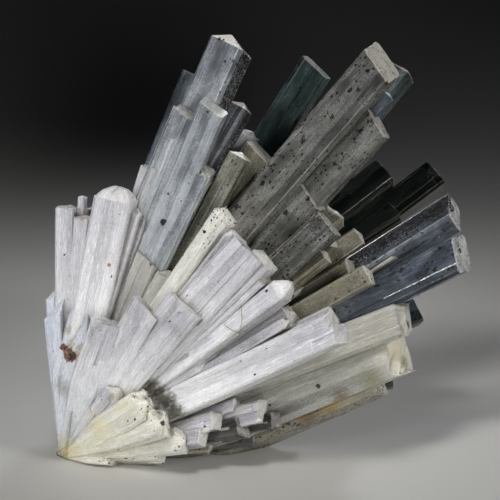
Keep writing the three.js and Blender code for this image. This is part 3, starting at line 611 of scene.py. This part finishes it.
def riders(bundle, row, form, finish, rng, brightness):
    """Thin crystals grown along a milky one, which stand a little out of its faces and end short of it."""
    root, tip, wide, deep, turn, cap = row[:6]
    start, length, across, front, axis = axes(root, tip)
    section = corners(form["sides"], wide, deep, turn)
    walk = np.vstack([section, section[:1]])
    steps = np.concatenate([[0], np.cumsum(np.linalg.norm(np.diff(walk, axis=0), axis=1))])
    for k in range(form["riders"]):
        width = rng.uniform(*RIDER_WIDTHS)
        at = (k + rng.uniform(0.1, 0.9)) * steps[-1] / form["riders"]
        point = np.array([np.interp(at, steps, walk[:, i]) for i in (0, 1)])
        inward = 1 - (0.5 * width - rng.uniform(*RIDER_PROUD)) / np.linalg.norm(point)
        centre = across * point[0] * inward + front * point[1] * inward
        reach = rng.choice([rng.uniform(*ends) for ends in RIDER_ENDS])
        off_peak = np.linalg.norm(point - np.array(cap[:2]) * (wide, deep))
        fall = cap[2] * off_peak if len(cap) == 3 else 0.0
        ends = [start + centre * FOOT_SHARE, start + centre + axis * (length - fall) * reach]
        root_and_tip = [tuple((end - GROWTH_POINT) @ np.array([RIGHT, UP, TOWARD]).T) for end in ends]
        thin = (*root_and_tip, width, width * rng.uniform(0.8, 1.1), rng.uniform(0, THIN_TURN),
                (*rng.uniform(-0.3, 0.3, 2), rng.uniform(0.1, 0.6)))
        bundle.add(prism(thin, FORMS["needle"], rng), finish, rng, brightness * rng.uniform(*RIDER_TONES))


def grow(bundle, row, rng):
    """One listed crystal with its riders."""
    finish, form = row[6], FORMS[row[7]]
    brightness = rng.uniform(*CRYSTAL_TONES)
    bundle.add(prism(row, form, rng, row[8] if len(row) > 8 else None), finish, rng, brightness)
    riders(bundle, row, form, finish, rng, brightness)


def leaning(fan, lean, length):
    """A tip by its angle in the fan and its lean toward the viewer."""
    flat = length * math.cos(lean)
    return (flat * math.cos(fan), flat * math.sin(fan), length * math.sin(lean))


def rising(turn, rise, length):
    """A tip by its turn to the back and its rise above the ground."""
    back = length * math.cos(rise) * math.sin(turn)
    height = length * math.sin(rise)
    tilt = VIEW_ELEVATION
    return (
        length * math.cos(rise) * math.cos(turn),
        back * math.sin(tilt) + height * math.cos(tilt),
        height * math.sin(tilt) - back * math.cos(tilt),
    )


def spread_rows(given, direction):
    """Crystals spread over a range of directions by golden fractions."""
    rows = []
    for k in range(1, given["count"] + 1):
        shares = [(k * fraction) % 1 for fraction in GOLDEN]
        first, second, length, wide = (
            given[key][0] + (given[key][1] - given[key][0]) * share
            for key, share in zip(("first", "second", "length", "width"), shares)
        )
        tip = direction(math.radians(first), math.radians(second), length)
        turn = SPREAD_TURN * shares[3]
        rows.append((START, tip, wide, wide * SPREAD_DEPTH, turn, SPREAD_CAP))
    return rows


def fan_angle(row):
    """The angle of a crystal in the fan, in degrees."""
    return math.degrees(math.atan2(row[1][1], row[1][0]))


def needles(bundles, rng):
    """Thin crystals between neighbours, which fill the fan near the growth point."""
    listed = [(bundle, row) for bundle, rows in BUNDLES.items() for row in rows.values()]
    tips = np.array([row[1] for _, row in listed], float)
    lengths = np.linalg.norm(tips, axis=1)
    ways = tips / lengths[:, None]
    for i, (bundle, row) in enumerate(listed):
        cosines = ways @ ways[i]
        for j in np.argsort(-cosines)[1 : NEIGHBOURS + 1]:
            together = listed[j][0] == bundle or row[6] == listed[j][1][6] == "white"
            if j < i or cosines[j] < NEIGHBOUR_ANGLE or not together:
                continue
            for share in NEEDLE_SHARES:
                way = ways[i] * (1 - share) + ways[j] * share
                way = way / np.linalg.norm(way) + rng.normal(0, NEEDLE_STRAY, 3)
                length = min(lengths[i], lengths[j]) * rng.uniform(*NEEDLE_LENGTHS)
                wide = rng.uniform(*NEEDLE_WIDTHS)
                thin = (START, tuple(way * length), wide, wide * rng.uniform(0.8, 1.2),
                        rng.uniform(0, THIN_TURN), NEEDLE_CAP)
                made = prism(thin, FORMS["needle"], rng)
                finish = row[6] if row[6] in NEEDLE_FINISHES else "drab"
                bundles[bundle].add(made, finish, rng, rng.uniform(*NEEDLE_TONES))


def add_node(tree, kind, settings, output=0):
    """Adds a shader node and gives one of its outputs. kind is followed by the operation of a maths node. A
    setting is a property or an input, by its name or number, and an input that is given another node's output
    is linked to it. stops are a ramp's places and values. A MapRange's inputs 1 to 4 are the range that it
    reads and the range that it gives, and a Mix's inputs 0, 6 and 7 the share and its two colours."""
    kind, *operation = kind.split()
    made = tree.nodes.new("ShaderNode" + kind)
    if operation:
        made.operation = operation[0]
    for key, value in settings.items():
        if key == "stops":
            while len(made.color_ramp.elements) < len(value):
                made.color_ramp.elements.new(1.0)
            for element, (at, level) in zip(made.color_ramp.elements, value):
                element.position = at
                element.color = (level, level, level, 1.0)
        elif isinstance(value, bpy.types.NodeSocket):
            tree.links.new(value, made.inputs[key])
        elif isinstance(key, int) or key in made.inputs:
            made.inputs[key].default_value = value
        else:
            setattr(made, key, value)
    return made if output is None else made.outputs[output]


def grain_mask(tree, local, grains, size, patterns):
    """Grains of one size, lying in loose clusters. Gives where they are and how brown each is."""
    node = partial(add_node, tree)
    pitch = size["pitch"]
    smallest, largest = size["radii"]
    spread = node("Mapping", {"Vector": local, "Scale": (1 / pitch, 1 / pitch, 0.8 / pitch)})
    cells = node("TexVoronoi", {"feature": "F1", "Scale": 1.0, "Vector": spread}, None)
    chance = node("SeparateColor", {"Color": cells.outputs["Color"]}, None)
    crowd = node("MapRange", {"Value": patterns["cluster"], 1: 0.38, 2: 0.6, 3: 0.0, 4: size["share"]})
    wanted = node("Math MULTIPLY", {0: crowd, 1: grains})
    present = node("Math GREATER_THAN", {0: wanted, 1: chance.outputs[0]})
    rarely_large = node("Math POWER", {0: chance.outputs[1], 1: 2.5})
    radius = node("MapRange", {"Value": rarely_large, 1: 0.0, 2: 1.0, 3: smallest, 4: largest})
    edge = node("Math MULTIPLY_ADD", {0: patterns["ragged"], 1: 0.8, 2: -0.4})
    distance = node("Math ADD", {0: cells.outputs["Distance"], 1: edge})
    inside = node("Math LESS_THAN", {0: distance, 1: radius})
    return node("Math MULTIPLY", {0: present, 1: inside}), chance.outputs[2]


def natrolite(name, stains_and_shade, plain_transmission=None):
    """Natrolite, a zeolite as it grew: glassy prism faces with fine lengthwise striation, milky where it is
    full of tiny cavities and clear where it isn't, with iron-stained grains lying on some faces. It is as
    clear as its veil lets it be, or all over as clear as plain_transmission says."""
    material = bpy.data.materials.new(name)
    material.use_nodes = True
    tree = material.node_tree
    tree.nodes.clear()
    node = partial(add_node, tree)
    local, clarity, grains, tint = (
        node("Attribute", {"attribute_name": key}, output)
        for key, output in (("local", "Vector"), ("clarity", "Fac"), ("grains", "Fac"), ("tint", "Color"))
    )

    # Patterns in the crystal's own axes: how many to a millimetre across it, across it and along it. Real
    # striae are a few hundredths of a millimetre apart. Here they are drawn coarser, so that they show.
    patterns = {}
    for key, scale, detail, rough in (
        ("striae", (6.0, 6.0, 0.24), 2.0, 0.55),
        ("pits", (5.5, 5.5, 3.0), 2.0, 0.6),
        ("mottle", (0.9, 0.9, 0.5), 2.0, 0.5),
        ("clouds", (0.5, 0.5, 0.22), 2.0, 0.5),
        ("glints", (8.0, 8.0, 0.6), 1.0, 0.5),
        ("cluster", (0.4, 0.4, 0.25), 2.0, 0.6),
        ("ragged", (4.0, 4.0, 3.5), 2.0, 0.6),
    ):
        stretched = node("Mapping", {"Vector": local, "Scale": scale})
        settings = {"Vector": stretched, "Scale": 1.0, "Detail": detail, "Roughness": rough}
        patterns[key] = node("TexNoise", settings)

    # The veil of cavities, and how much light goes through what it leaves open
    streaks = node("Math MULTIPLY", {0: patterns["striae"], 1: 0.2})
    pattern = node("Math MULTIPLY_ADD", {0: patterns["clouds"], 1: 0.9, 2: streaks})
    veil = node("MapRange", {"Value": pattern, 1: 0.32, 2: 0.7, 3: 0.2, 4: 0.8})
    over = node("Math MULTIPLY_ADD", {0: clarity, 1: 2.0, 2: -0.45})
    over = node("Math SUBTRACT", {0: over, 1: veil})
    opening = {"Value": over, 1: -0.4, 2: 1.0, 3: 0.0, 4: 0.95, "interpolation_type": "SMOOTHSTEP"}
    open_share = node("MapRange", opening)

    # Milky crystal: mottled, with bright lines, crumbs, glints (tiny breaks and painted highlights), darker
    # where clear
    level = node("MapRange", {"Value": patterns["mottle"], 1: 0.3, 2: 0.7, 3: 0.86, 4: 1.0})
    # lit is how strong the glints are, which are partly painted highlights
    lit = node("MapRange", {"Value": patterns["clouds"], 1: 0.42, 2: 0.58, 3: 0.05, 4: 0.4})
    for key, low, high, least, most in (
        ("striae", 0.5, 0.72, -0.02, 0.2),
        ("pits", 0.3, 0.7, -0.08, 0.08),
        ("glints", 0.58, 0.66, 0.0, lit),
    ):
        part = node("MapRange", {"Value": patterns[key], 1: low, 2: high, 3: least, 4: most})
        level = node("Math ADD", {0: level, 1: part})
    level = node("Math MULTIPLY_ADD", {0: open_share, 1: -0.2, 2: level})
    body = node("VectorMath SCALE", {0: tint, "Scale": level})

    # Darker olive in the grooves between crystals, by ambient occlusion: partly fine dust, partly painted
    # shade
    free = node("AmbientOcclusion", {"Distance": 2.0 * MM, "samples": 6}, "AO")
    dust_and_shade = node("MapRange", {"Value": free, 1: 0.12, 2: 0.72, 3: 0.65, 4: 0.0})
    dust_and_shade_mix = {"data_type": "RGBA", "blend_type": "MULTIPLY", 0: dust_and_shade, 6: body, 7: linear("#98937E")}
    body = node("Mix", dust_and_shade_mix, 2)

    # Grains of iron and manganese oxides, 0.1 to 0.6 mm across, and a crust of them where they lie close
    many = node("Math SUBTRACT", {0: grains, 1: 0.04})
    large, brown = grain_mask(tree, local, many, GRAIN_SIZES["large"], patterns)
    small, _ = grain_mask(tree, local, grains, GRAIN_SIZES["small"], patterns)
    dense = node("MapRange", {"Value": grains, 1: 0.9, 2: 1.9, 3: 0.8, 4: 0.44})
    crust = node("Math GREATER_THAN", {0: patterns["ragged"], 1: dense})
    speck = node("Math MAXIMUM", {0: large, 1: small})
    speck = node("Math MAXIMUM", {0: speck, 1: crust})
    oxides = {"data_type": "RGBA", 0: brown, 6: linear("#0E0C0A"), 7: linear("#2A2119")}
    oxides = node("Mix", oxides, 2)
    cover = node("Math MULTIPLY", {0: speck, 1: 0.96})
    body = node("Mix", {"data_type": "RGBA", 0: cover, 6: body, 7: oxides}, 2)
    body = stained(tree, body, stains_and_shade)

    # Glassy faces, satin where they are milky, with the striae and the grains in low relief
    height = node("Math MULTIPLY_ADD", {0: patterns["striae"], 1: 0.5, 2: speck})
    relief = node("MapRange", {"Value": open_share, 1: 0.0, 2: 0.6, 3: 0.7, 4: 0.2})
    bump = node("Bump", {"Height": height, "Strength": relief, "Distance": 0.1 * MM})
    rough = node("MapRange", {"Value": patterns["pits"], 1: 0.4, 2: 0.65, 3: 0.12, 4: 0.24})
    satin = node("MapRange", {"Value": open_share, 1: 0.0, 2: 0.4, 3: 0.14, 4: 0.0})
    rough = node("Math ADD", {0: rough, 1: satin})
    shader = node("BsdfPrincipled", {
        "Base Color": body, "Roughness": rough, "Normal": bump, "IOR": 1.48, "Metallic": 0.0,
        "Specular IOR Level": 0.4,
        "Subsurface Weight": 1.0, "Subsurface Scale": 0.0018, "Subsurface Radius": (1.0, 0.97, 0.94),
    }, None)
    if plain_transmission is None:
        bare = node("Math SUBTRACT", {0: 1.0, 1: cover})
        through = node("Math MULTIPLY", {0: open_share, 1: bare})
        tree.links.new(through, shader.inputs["Transmission Weight"])
    else:
        shader.inputs["Transmission Weight"].default_value = plain_transmission
    depth = node("VolumeAbsorption", {"Color": linear("#C4D2D6"), "Density": 60.0})
    node("OutputMaterial", {"Surface": shader.outputs[0], "Volume": depth}, None)
    return material


def stained(tree, body, stains_and_shade):
    """The colour with the stains, specks and painted shade over it that lie at one place each."""
    node = partial(add_node, tree)
    where = node("TexCoord", {}, "Object")
    wobble = node("TexNoise", {"Vector": where, "Scale": 1.7 / MM, "Detail": 3.0})
    for at, radius, colour, strength, core, ragged in stains_and_shade:
        share = node("VectorMath DISTANCE", {0: where, 1: at}, "Value")
        share = node("Math DIVIDE", {0: share, 1: radius * MM})
        share = node("Math MULTIPLY_ADD", {0: wobble, 1: ragged, 2: share})
        share = node("Math SUBTRACT", {0: share, 1: 0.5 * ragged})
        cover = node("ValToRGB", {0: share, "stops": [(core, strength), (1.0, 0.0)]})
        body = node("Mix", {"data_type": "RGBA", 0: cover, 6: body, 7: linear(colour)}, 2)
    return body


def front_surface(pieces):
    """The crystals' faces as a tree that rays can be cast at."""
    points, faces = [], []
    for piece in pieces:
        base = len(points)
        points += [tuple(v.co) for v in piece.data.vertices]
        faces += [tuple(base + i for i in p.vertices) for p in piece.data.polygons]
    return BVHTree.FromPolygons(points, faces)


def seen_at(surface, pixel):
    """Where the ray through a pixel of the photograph meets the crystals, in metres."""
    eye, _ = camera_place()
    right = (pixel[0] - GROWTH_PIXEL[0]) * PIXEL_SIZE
    up = (GROWTH_PIXEL[1] - pixel[1]) * PIXEL_SIZE
    way = Vector(place((right, up, 0)) * MM) - Vector(eye * MM)
    return surface.ray_cast(Vector(eye * MM), way.normalized())[0]


def locate_stains_and_shade(surface):
    """The stains and painted shade, each with the place on the crystals where the photograph shows it."""
    stains_and_shade = []
    for name, pixel, *look in STAIN_AND_SHADE_MARKS:
        at = seen_at(surface, pixel)
        if at is None:
            print("no crystal at the stain", name)
        else:
            stains_and_shade.append((at, *look))
    return stains_and_shade


def hair(name, pixels, surface, material):
    """A hair as a thin tube that follows the crystals below it."""
    marks = np.array(pixels, float)
    steps = np.linspace(0, len(marks) - 1, HAIR_POINTS)
    path = [np.array(seen_at(surface, [np.interp(step, range(len(marks)), marks[:, i]) for i in (0, 1)])) / MM
            for step in steps]
    path = [at + TOWARD * HAIR_LIFT for at in path]
    n = HAIR_SIDES
    turns = [2 * math.pi * k / n for k in range(n)]
    points = [(at + HAIR_RADIUS * (math.cos(t) * (RIGHT + UP) + math.sin(t) * TOWARD)) * MM
              for at in path for t in turns]
    faces = [(n * i + k, n * i + (k + 1) % n, n * i + n + (k + 1) % n, n * i + n + k)
             for i in range(len(path) - 1) for k in range(n)]
    last = n * (len(path) - 1)
    faces += [tuple(range(n))[::-1], tuple(range(last, last + n))]
    piece = meshed(name, points, faces)
    piece.data.materials.append(material)
    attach(piece, "root")
    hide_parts("natrolite_spray")


def dull(name, colour, roughness):
    """A dull material of one colour."""
    material = bpy.data.materials.new(name)
    material.use_nodes = True
    shader = material.node_tree.nodes["Principled BSDF"]
    shader.inputs["Base Color"].default_value = linear(colour)
    shader.inputs["Roughness"].default_value = roughness
    return material


def camera_place():
    """The camera's place and the point that it looks at."""
    half = FRAME_PIXELS / 2
    target = place(((half - GROWTH_PIXEL[0]) * PIXEL_SIZE, (GROWTH_PIXEL[1] - half) * PIXEL_SIZE, 0))
    return target + CAMERA_DISTANCE * TOWARD, target


def aimed(name, data, at, way):
    """A new camera or light at a place, in metres, that looks along a direction."""
    made = linked(name, data)
    made.location = at
    made.rotation_mode = "QUATERNION"
    made.rotation_quaternion = way.to_track_quat("-Z", "Y")
    return made


def set_camera():
    eye, target = camera_place()
    data = bpy.data.cameras.new("photo_camera")
    half_width = FRAME_PIXELS / 2 * PIXEL_SIZE
    data.lens = data.sensor_width / 2 * CAMERA_DISTANCE / half_width
    data.clip_start, data.clip_end = CAMERA_CLIP
    bpy.context.scene.camera = aimed(data.name, data, Vector(eye * MM), Vector((target - eye) * MM))


def set_studio():
    """A pale floor, soft boxes with grids that light the specimen and the floor near it, and a dark room."""
    world = bpy.data.worlds.new("dark_room")
    world.use_nodes = True
    background = world.node_tree.nodes["Background"]
    background.inputs["Color"].default_value = linear(ROOM_COLOUR)
    background.inputs["Strength"].default_value = ROOM_LIGHT
    bpy.context.scene.world = world
    for name, (at, aim, size, watts, colour, spread) in LIGHTS.items():
        data = bpy.data.lights.new(name, "AREA")
        data.shape = "RECTANGLE"
        data.size, data.size_y = size[0] * MM, size[1] * MM
        data.energy = watts
        data.color = linear(colour)[:3]
        data.spread = math.radians(spread)
        aimed(name, data, Vector(at) * MM, Vector(aim) - Vector(at))

    turns = [2 * math.pi * k / FLOOR_SIDES for k in range(FLOOR_SIDES)]
    ring = [(FLOOR_REACH * MM * math.cos(t), FLOOR_REACH * MM * math.sin(t), 0) for t in turns]
    floor = meshed("floor", ring, [tuple(range(FLOOR_SIDES))])
    # Matt pale board, which takes soft shadows and mirrors nothing
    floor.data.materials.append(dull("matt_pale_board", "#C9C9C7", 0.75))


def finish_piece(piece, milky, clear):
    """Gives each face its material: the plain clear one where all its corners are fully clear."""
    mesh = piece.data
    mesh.materials.clear()
    mesh.materials.append(milky)
    mesh.materials.append(clear)
    values = np.zeros(len(mesh.loops), np.float32)
    mesh.attributes["clarity"].data.foreach_get("value", values)
    starts = np.zeros(len(mesh.polygons), int)
    mesh.polygons.foreach_get("loop_start", starts)
    least = np.minimum.reduceat(values, starts)
    mesh.polygons.foreach_set("material_index", (least > CLEAR_FROM).astype(np.int32))
    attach(piece, "root")
    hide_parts("natrolite_spray")


def build():
    rng = np.random.default_rng(SEED)
    bundles = {name: Bundle(name) for name in [*BUNDLES, "back_crystals"]}
    for name, rows in BUNDLES.items():
        for row in rows.values():
            grow(bundles[name], row, rng)
    for row in spread_rows(FILL, leaning):
        made = prism(row, FORMS["filler"], rng)
        if row[1][2] < PIT["toward"] or not PIT["from"] < fan_angle(row) < PIT["to"]:
            bundles["apex_crystals"].add(made, "drab", rng)
    for row in spread_rows(FRONT, leaning):
        made = prism(row, FORMS["filler"], rng)
        if fan_angle(row) > FRONT_FROM:
            bundles["apex_crystals"].add(made, "white", rng)
    for k, row in enumerate(spread_rows(BACK, rising)):
        finish = BACK_FINISHES[k % len(BACK_FINISHES)]
        bundles["back_crystals"].add(prism(row, FORMS["filler"], rng), finish, rng)
    needles(bundles, rng)
    pieces = [bundle.join() for bundle in bundles.values()]
    block = ground_block()
    bpy.data.meshes.remove(block.data)
    surface = front_surface(pieces)
    stains_and_shade = locate_stains_and_shade(surface)
    # A dry plant fibre, yellow-green and dull, which reads as a fine line on the white crystals
    fibre = dull("dry_plant_fibre", "#8F8F4C", 0.6)
    for name, pixels in HAIRS.items():
        hair(name, pixels, surface, fibre)
    milky = natrolite("natrolite_milky_to_veiled", stains_and_shade)
    clear = natrolite("natrolite_clear", stains_and_shade, CLEAR_TRANSMISSION)
    for piece in pieces:
        finish_piece(piece, milky, clear)
        print("piece", piece.name, len(piece.data.polygons))


build()
set_camera()
set_studio()
bpy.context.scene.view_settings.view_transform = "Standard"
